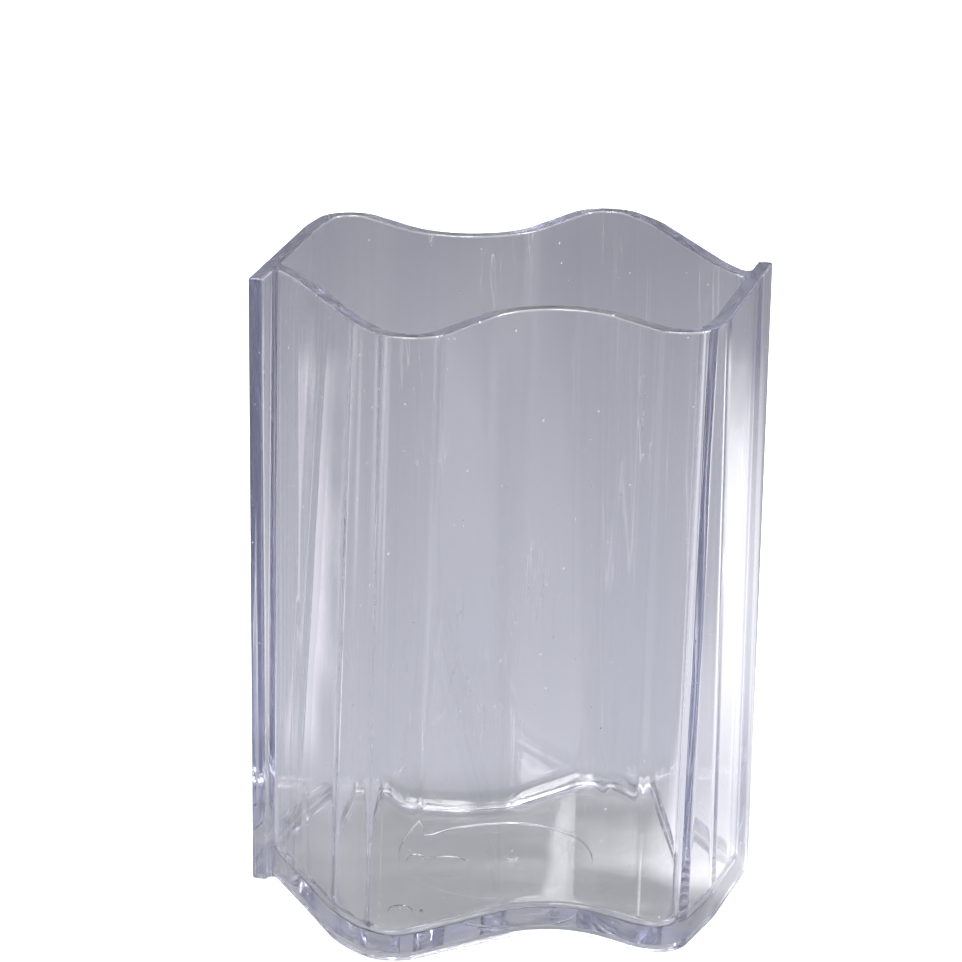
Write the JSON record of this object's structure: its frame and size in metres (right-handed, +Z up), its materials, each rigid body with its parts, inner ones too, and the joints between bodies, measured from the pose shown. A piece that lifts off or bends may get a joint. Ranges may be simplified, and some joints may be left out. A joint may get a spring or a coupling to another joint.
{
  "type": "pen holder cup",
  "caption": "Open-topped clear cup for pens, with a wave-shaped wall that deepens towards the rim and a square-cut fin standing past each wall junction.",
  "frame": {"origin": "middle of the base, on the surface the cup stands on", "axes": "+Z up the cup, -Y towards the front wave, +X towards the fin at the right of the front"},
  "size_m": [0.085, 0.0802, 0.102],
  "materials": {
    "cup": "clear, stiff plastic with a moulded gloss, fine handling scratches and a cool grey tint"
  },
  "bodies": {
    "root": {"cup_body": "cup"}
  },
  "joints": []
}
